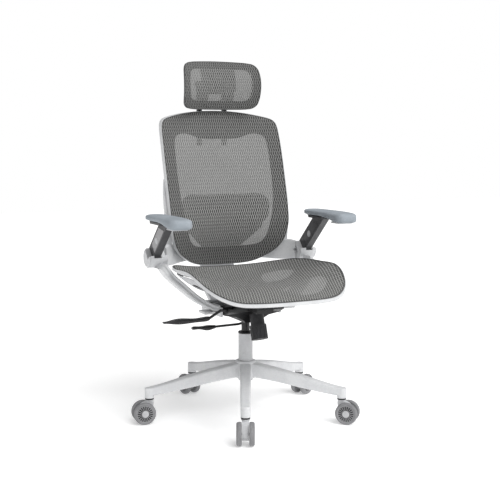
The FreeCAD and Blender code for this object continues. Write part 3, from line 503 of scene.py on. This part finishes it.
back_out = closed_spline(both(OUT_HALF), 300)
back_in = closed_spline(both(HEM_SHADE_BAND_HALF), 300)
v_of = arc_table(lambda z: back_y(0, z), 480.0, 1044.0, 6.0)
C_BACK = (0.0, 764.0)


def back_point(x, z, off=1.2):
    return (x * MM, (back_y(x, z) + off) * MM, z * MM)


back_net, back_edge = ring_sheet(
    "back_net", C_BACK, outline_rings(back_out, back_in, C_BACK, 288, 40, 6), 288, back_point,
    lambda x, z: (x * 1.02 * MM, v_of(z) * MM), [M["net_back"]],
)
place(back_net, "back_carrier", "grey_mesh", "back_mesh")
back_hem = place(tube_along("back_net_hem", back_edge, 0.0013, M["hem"]), "back_carrier", "grey_mesh")

head_out = closed_spline(both(HEAD_HALF), 240)
head_in = closed_spline(both(HEAD_IN), 240)
v_head = arc_table(lambda z: head_y(0, z), 1030.0, 1212.0, 5.0)
C_HEAD = (0.0, 1122.0)


def head_point(x, z, off=1.1):
    return (x * MM, (head_y(x, z) + off) * MM, z * MM)


head_net, head_edge = ring_sheet(
    "headrest_net", C_HEAD, outline_rings(head_out, head_in, C_HEAD, 216, 18, 5), 216, head_point,
    lambda x, z: (x * 1.03 * MM, v_head(z) * MM), [M["net_head"]],
)
place(head_net, "headrest", "grey_mesh", "headrest_mesh")
head_hem = place(tube_along("headrest_net_hem", head_edge, 0.0013, M["hem"]), "headrest", "grey_mesh")

# seat: rings are scaled copies of the outline
SEG, RINGS = 288, 46
rim_pts = []
for i in range(SEG):
    rim_pts.append(seat_rim(2 * math.pi * (i + 0.5) / SEG))
rim_fine = [seat_rim(2 * math.pi * (i + 0.5) / 1440) for i in range(1440)]
seg = [math.dist(rim_fine[i], rim_fine[(i + 1) % 1440]) for i in range(1440)]
tot, k_, run_, rim_pts = sum(seg), 0, 0.0, []
for i in range(SEG):
    want = tot * i / SEG
    while run_ + seg[k_] < want:
        run_ += seg[k_]
        k_ += 1
    f = (want - run_) / seg[k_]
    a, b = rim_fine[k_], rim_fine[(k_ + 1) % 1440]
    rim_pts.append((a[0] * (1 - f) + b[0] * f, a[1] * (1 - f) + b[1] * f))
v_seat = arc_table(lambda y: pchip(y, CEY, CEZ), -352.0, 170.0, 6.0)
verts, uv, hem_shade_band_values = [], [], []
S = [((j + 1) / RINGS) ** 0.9 for j in range(RINGS)]
S = [s for s in S if s < 0.972] + [0.978, 0.984, 0.992, 1.0]
for s in S:
    for rx, ry in rim_pts:
        x, y = rx * s, SEAT_MID + (ry - SEAT_MID) * s
        verts.append((x * MM, y * MM, (seat_z(x, y, s, ry) - 1.1) * MM))
        uv.append((x * 1.02 * MM, v_seat(y) * MM))
        # the outermost seat rings get the same darker hem band, which is partly painted shade where the net meets the
        # frame
        hem_shade_band_values.append(1.0 if s > 0.983 else 0.0)
verts.append((0.0, SEAT_MID * MM, (seat_z(0, SEAT_MID, 0.0, SEAT_MID) - 1.1) * MM))
uv.append((0.0, v_seat(SEAT_MID) * MM))
hem_shade_band_values.append(0.0)
faces = [(len(verts) - 1, i, (i + 1) % SEG) for i in range(SEG)]
for j in range(len(S) - 1):
    for i in range(SEG):
        a, b = j * SEG + i, j * SEG + (i + 1) % SEG
        faces.append((a, a + SEG, b + SEG, b))
seat_net = make_object("seat_net", verts, faces, [M["net_seat"]], uv=uv, floats={"hem_shade_band": hem_shade_band_values})
place(seat_net, "seat", "grey_mesh", "seat_mesh")
seat_edge = [verts[(len(S) - 1) * SEG + i] for i in range(SEG)]
seat_hem = place(tube_along("seat_net_hem", seat_edge, 0.0012, M["hem"]), "seat", "grey_mesh")


# ------------------------------------------------------------------ arm pads: moulded soft foam with a firm underside plate
PY = [-181, -163, -136, -90, -48, 20, 64, 90]
PW = [76, 77.5, 78, 78, 76, 73, 70, 66]
PZ0 = [659, 657.8, 659.5, 668.5, 672, 672, 672.6, 675]
PZ1 = [689.5, 691, 692.3, 693, 692.6, 692, 691.3, 690]


def end_round(d, r):
    return 0.0 if d >= r else r - math.sqrt(max(r * r - (r - d) ** 2, 0.0))


def pad_ring(y, n=64):
    front, rear = y + 181.0, 90.0 - y
    hw = pchip(y, PY, PW) / 2 - end_round(front, 27.0) - end_round(rear, 24.0)
    z0, z1 = pchip(y, PY, PZ0), pchip(y, PY, PZ1)
    hh0, mid = (z1 - z0) / 2, (z0 + z1) / 2
    hh = hh0 - end_round(front, min(13.0, hh0 - 2.5)) - end_round(rear, min(8.0, hh0 - 2.0))
    out = []
    for i in range(n):
        t = 2 * math.pi * i / n
        c, s = math.cos(t), math.sin(t)
        e = 0.46
        x = hw * math.copysign(abs(c) ** e, c)
        z = hh * math.copysign(abs(s) ** (e if s < 0 else 0.62), s)
        if s > 0:
            z += 0.8 * (1 - (x / max(hw, 1)) ** 2) - 0.4
        out.append((x, y, mid + z))
    return out


def pad_mesh(name, side):
    ys = [-181 + 27 * (1 - math.cos(math.pi / 2 * i / 9)) for i in range(10)]
    ys += [-154 + (66 + 154) * i / 40 for i in range(1, 41)]
    ys += [90 - 24 * (1 - math.sin(math.pi / 2 * i / 9)) for i in range(1, 10)]
    n = 64
    verts, faces = [], []
    rings = [pad_ring(y, n) for y in ys]

    def shrink(ring, f, dy):
        cx = sum(p[0] for p in ring) / n
        cz = sum(p[2] for p in ring) / n
        return [(cx + (p[0] - cx) * f, p[1] + dy, cz + (p[2] - cz) * f) for p in ring]

    rings = [shrink(rings[0], 0.35, -0.35), shrink(rings[0], 0.72, -0.2)] + rings + [shrink(rings[-1], 0.72, 0.2), shrink(rings[-1], 0.35, 0.35)]
    for r in rings:
        for x, y, z in r:
            verts.append(((side * 295 + x) * MM, y * MM, z * MM))
    for j in range(len(rings) - 1):
        for i in range(n):
            a, b = j * n + i, j * n + (i + 1) % n
            faces.append((a, b, b + n, a + n))
    faces.append(tuple(reversed(range(n))))
    faces.append(tuple((len(rings) - 1) * n + i for i in range(n)))
    ob = make_object(name, verts, faces, [M["blue_grey_pu"]])
    return ob


for side, word in ((1, "left"), (-1, "right")):
    pad = pad_mesh(f"{word}_arm_cushion", side)
    place(pad, f"{word}_arm", "blue_grey_pu", f"{word}_arm_pad")


def rounded_block(name, x0, x1, y0, y1, z0, z1, r, mat, levels=3):
    """A block with generous rounded edges, made by bevelling and smoothing."""
    bm = bmesh.new()
    bmesh.ops.create_cube(bm, size=1.0)
    for v in bm.verts:
        v.co = Vector(((x0 + x1) / 2 + v.co.x * (x1 - x0), (y0 + y1) / 2 + v.co.y * (y1 - y0), (z0 + z1) / 2 + v.co.z * (z1 - z0))) * MM
    bmesh.ops.bevel(bm, geom=list(bm.edges), offset=r * MM, segments=levels, profile=0.5, affect="EDGES")
    me = bpy.data.meshes.new(name)
    bm.to_mesh(me)
    bm.free()
    me.materials.append(mat)
    me.polygons.foreach_set("use_smooth", [True] * len(me.polygons))
    ob = bpy.data.objects.new(name, me)
    bpy.context.scene.collection.objects.link(ob)
    return ob


for side, word in ((1, "left"), (-1, "right")):
    xa, xb = sorted((side * 268, side * 322))
    plate = rounded_block(f"{word}_arm_front_plate", xa, xb, -157, -103, 655.2, 660.5, 2.2, M["light_grey_plastic"])
    place(plate, f"{word}_arm", "light_grey_plastic")
    xa, xb = sorted((side * 276, side * 314))
    boss = rounded_block(f"{word}_arm_rear_boss", xa, xb, 44, 78, 665.5, 674.5, 4.2, M["dark_grey_plastic"])
    place(boss, f"{word}_arm", "dark_grey_plastic")

# ------------------------------------------------------------------ blade side panels, with a hole for the button
PIV = Vector((0, 108, 543))
DIRV, NORV = Vector((0, -0.743, 0.669)), Vector((0, 0.669, 0.743))


def panel(name, side, outer, mat):
    """Thin plate with a rounded outline and a round hole, in the recess on one face of the blade."""
    pts2 = [(-6.3, 35.4), (30.3, 35.4), (30.3, 126.6), (-6.3, 155.2)]
    cu = bpy.data.curves.new(name, "CURVE")
    cu.dimensions = "2D"
    cu.fill_mode = "BOTH"
    cu.extrude = 0.00045
    cu.bevel_depth = 0.00025
    cu.bevel_resolution = 2
    loop_pts = []
    m = len(pts2)
    for i in range(m):
        p0, p1, p2 = Vector(pts2[i - 1]), Vector(pts2[i]), Vector(pts2[(i + 1) % m])
        a, b = (p0 - p1).normalized(), (p2 - p1).normalized()
        r = 3.0
        s0, s1 = p1 + a * r, p1 + b * r
        for j in range(7):
            t = j / 6
            loop_pts.append((s0 * (1 - t) ** 2 + p1 * 2 * t * (1 - t) + s1 * t * t))
    for pts in (loop_pts, [Vector((12 + 12.6 * math.cos(2 * math.pi * i / 48), 78 + 12.6 * math.sin(2 * math.pi * i / 48))) for i in range(48)]):
        sp = cu.splines.new("POLY")
        sp.points.add(len(pts) - 1)
        for q, p in zip(sp.points, pts):
            q.co = (p.x * MM, p.y * MM, 0, 1)
        sp.use_cyclic_u = True
    tmp = bpy.data.objects.new(name + "_tmp", cu)
    bpy.context.scene.collection.objects.link(tmp)
    bpy.context.view_layer.update()
    me = bpy.data.meshes.new_from_object(tmp)
    bpy.data.objects.remove(tmp)
    me.name = name
    face_x = (297.0 - 1.6 + 0.75) if outer else (272.0 + 1.6 - 0.75)
    mat4 = Matrix(((0, 0, 1, side * face_x * MM), (NORV.y, DIRV.y, 0, PIV.y * MM), (NORV.z, DIRV.z, 0, PIV.z * MM), (0, 0, 0, 1)))
    me.transform(mat4)
    me.materials.clear()
    me.materials.append(mat)
    ob = bpy.data.objects.new(name, me)
    bpy.context.scene.collection.objects.link(ob)
    return ob


for side, word in ((1, "left"), (-1, "right")):
    place(panel(f"{word}_arm_outer_panel", side, True, M["panel_grey"]), f"{word}_arm", "dark_grey_plastic")
    place(panel(f"{word}_arm_inner_panel", side, False, M["dark_grey_plastic"]), f"{word}_arm", "dark_grey_plastic")


# ------------------------------------------------------------------ caster wheels and collars
def wheel_mesh(name, sign):
    """A tread, a disc with twenty radial slots and a domed cap, about the local X axis. sign is the side of the fork."""
    n = 120
    prof = [
        (4.5, 12.4, 1), (12.0, 12.4, 1), (13.0, 14.2, 1), (28.0, 14.2, 1), (29.2, 12.0, 0), (33.0, 11.6, 0), (35.6, 12.5, 0), (36.7, 14.4, 0), (37.0, 17.0, 0),
        (37.0, 20.5, 0), (36.9, 23.6, 0), (36.0, 26.0, 0), (34.2, 27.7, 0), (31.8, 28.5, 0), (29.8, 28.3, 0), (29.0, 27.3, 1), (28.2, 26.6, 1), (25.5, 26.8, 1),
        (19.0, 27.2, 1), (12.2, 27.5, 1), (11.5, 28.1, 2), (10.8, 28.7, 2), (9.6, 28.9, 2), (8.4, 28.5, 2), (5.0, 28.8, 2), (0.0, 29.0, 2),
    ]
    bm = bmesh.new()
    loops = []
    for r, t, _ in prof:
        if r < 1e-6:
            loops.append([bm.verts.new((sign * t * MM, 0, 0))])
            continue
        loops.append([bm.verts.new((sign * t * MM, r * MM * math.cos(2 * math.pi * i / n), r * MM * math.sin(2 * math.pi * i / n))) for i in range(n)])
    slot_groups = {}
    for j in range(len(prof) - 1):
        a, b = loops[j], loops[j + 1]
        for i in range(n):
            i2 = (i + 1) % n
            if len(b) == 1:
                f = bm.faces.new((a[i], a[i2], b[0]) if sign > 0 else (a[i2], a[i], b[0]))
            else:
                f = bm.faces.new((a[i], a[i2], b[i2], b[i]) if sign > 0 else (a[i2], a[i], b[i], b[i2]))
            f.material_index = max(prof[j][2], 0) if prof[j][2] == prof[j + 1][2] else min(prof[j][2], prof[j + 1][2])
            f.smooth = True
            if 17 <= j <= 18 and i % 6 in (0, 1, 2):
                slot_groups.setdefault(i // 6, []).append(f)
    for group in slot_groups.values():
        got = bmesh.ops.extrude_face_region(bm, geom=group)
        moved = [g for g in got["geom"] if isinstance(g, bmesh.types.BMVert)]
        bmesh.ops.translate(bm, verts=moved, vec=(-sign * 6.5 * MM, 0, 0))
        # the sunk slot faces take the near-black painted shade of material 3
        for v in moved:
            for f in v.link_faces:
                f.material_index = 3
                f.smooth = False
        bmesh.ops.delete(bm, geom=[f for f in group if f.is_valid], context="FACES_ONLY")
    bmesh.ops.recalc_face_normals(bm, faces=list(bm.faces))
    me = bpy.data.meshes.new(name)
    bm.to_mesh(me)
    bm.free()
    for key in ("wheel_grey", "wheel_disc", "wheel_cap", "shadow_slot"):
        me.materials.append(M[key])
    return me


def lathe(name, prof, mat, n=64):
    """A closed ring about Z from an (r, z) outline."""
    verts, faces = [], []
    m = len(prof)
    for r, z in prof:
        for i in range(n):
            verts.append((r * MM * math.cos(2 * math.pi * i / n), r * MM * math.sin(2 * math.pi * i / n), z * MM))
    for j in range(m):
        for i in range(n):
            a, b = j * n + i, j * n + (i + 1) % n
            c, d = ((j + 1) % m) * n + (i + 1) % n, ((j + 1) % m) * n + i
            faces.append((a, b, c, d))
    me = bpy.data.meshes.new(name)
    me.from_pydata(verts, [], faces)
    me.materials.append(mat)
    me.polygons.foreach_set("use_smooth", [True] * len(me.polygons))
    bm = bmesh.new()
    bm.from_mesh(me)
    bmesh.ops.recalc_face_normals(bm, faces=list(bm.faces))
    bm.to_mesh(me)
    bm.free()
    return me


wheel_a, wheel_b = wheel_mesh("wheel_a_mesh", 1), wheel_mesh("wheel_b_mesh", -1)
collar = lathe("caster_collar_mesh", [(11.7, 80.2), (14.6, 80.2), (15.2, 80.9), (15.2, 83.2), (14.6, 84.0), (11.7, 84.0)], M["black_plastic"])
STEM_R, TRAIL = 335.0, 20.0
for i in range(5):
    ang = math.radians(-115.0 + 72.0 * i)
    ca, sa = math.cos(ang), math.sin(ang)
    axle = Vector((-sa, ca, 0))
    out = Vector((ca, sa, 0))
    centre = out * (STEM_R + TRAIL) * MM + Vector((0, 0, 37.0 * MM))
    rot = Matrix((axle, out, Vector((0, 0, 1)))).transposed().to_4x4()
    for word, me in (("a", wheel_a), ("b", wheel_b)):
        ob = bpy.data.objects.new(f"caster_{i + 1}_tyre_{word}", me)
        bpy.context.scene.collection.objects.link(ob)
        ob.matrix_world = Matrix.Translation(centre) @ rot
        place(ob, f"caster_{i + 1}_{word}", "wheel_grey", f"caster_{i + 1}_wheel_{word}")
    ob = bpy.data.objects.new(f"caster_{i + 1}_collar", collar)
    bpy.context.scene.collection.objects.link(ob)
    ob.matrix_world = Matrix.Translation(out * STEM_R * MM)
    place(ob, f"caster_{i + 1}", "black_plastic")

# ------------------------------------------------------------------ floor, light and camera
k = Mat("floor_look")
co = coords(k)
k.put(k.b, "Base Color", k.mix(k.noise(co, 3.0, 2.0, 0.5), rgb(249), rgb(252)))
k.put(k.b, "Roughness", k.ramp(k.noise(co, 40.0, 2.0, 0.5), 0.3, 0.7, 0.85, 0.95))
k.b.inputs["Specular IOR Level"].default_value = 0.1
k.b.inputs["Emission Color"].default_value = (1.0, 1.0, 1.0, 1.0)
k.b.inputs["Emission Strength"].default_value = 0.3
floor = make_object("studio_floor", [(-9, -9, 0), (9, -9, 0), (9, 9, 0), (-9, 9, 0)], [(0, 1, 2, 3)], [k.m])

world = bpy.data.worlds.new("studio")
bpy.context.scene.world = world
world.use_nodes = True
wn = world.node_tree
wn.nodes.clear()
wo = wn.nodes.new("ShaderNodeOutputWorld")
fill = wn.nodes.new("ShaderNodeBackground")
fill.inputs[0].default_value = (1.0, 1.0, 1.0, 1.0)
fill.inputs[1].default_value = 0.45
seen = wn.nodes.new("ShaderNodeBackground")
seen.inputs[0].default_value = (1.0, 1.0, 1.0, 1.0)
seen.inputs[1].default_value = 1.0
which = wn.nodes.new("ShaderNodeLightPath")
blend = wn.nodes.new("ShaderNodeMixShader")
wn.links.new(which.outputs["Is Camera Ray"], blend.inputs[0])
wn.links.new(fill.outputs[0], blend.inputs[1])
wn.links.new(seen.outputs[0], blend.inputs[2])
wn.links.new(blend.outputs[0], wo.inputs[0])


sun = bpy.data.lights.new("key", "SUN")
sun.energy = 2.3
sun.angle = math.radians(50)
sun_ob = bpy.data.objects.new("key", sun)
bpy.context.scene.collection.objects.link(sun_ob)
sun_ob.rotation_euler = Vector((-0.219, 0.594, -0.75)).to_track_quat("-Z", "Y").to_euler()
sun_ob.location = (0.7, -1.8, 3.0)

cam = bpy.data.cameras.new("camera")
cam.lens = 73.3
cam.sensor_width = 36.0
cam.shift_x = 0.0088
cam_ob = bpy.data.objects.new("camera", cam)
bpy.context.scene.collection.objects.link(cam_ob)
cam_ob.location = (-1.4369, -3.0815, 0.956)
cam_ob.rotation_euler = Vector((0.4199, 0.9004, -0.1141)).to_track_quat("-Z", "Y").to_euler()
cam.clip_end = 50
bpy.context.scene.camera = cam_ob
bpy.context.scene.view_settings.view_transform = "Standard"
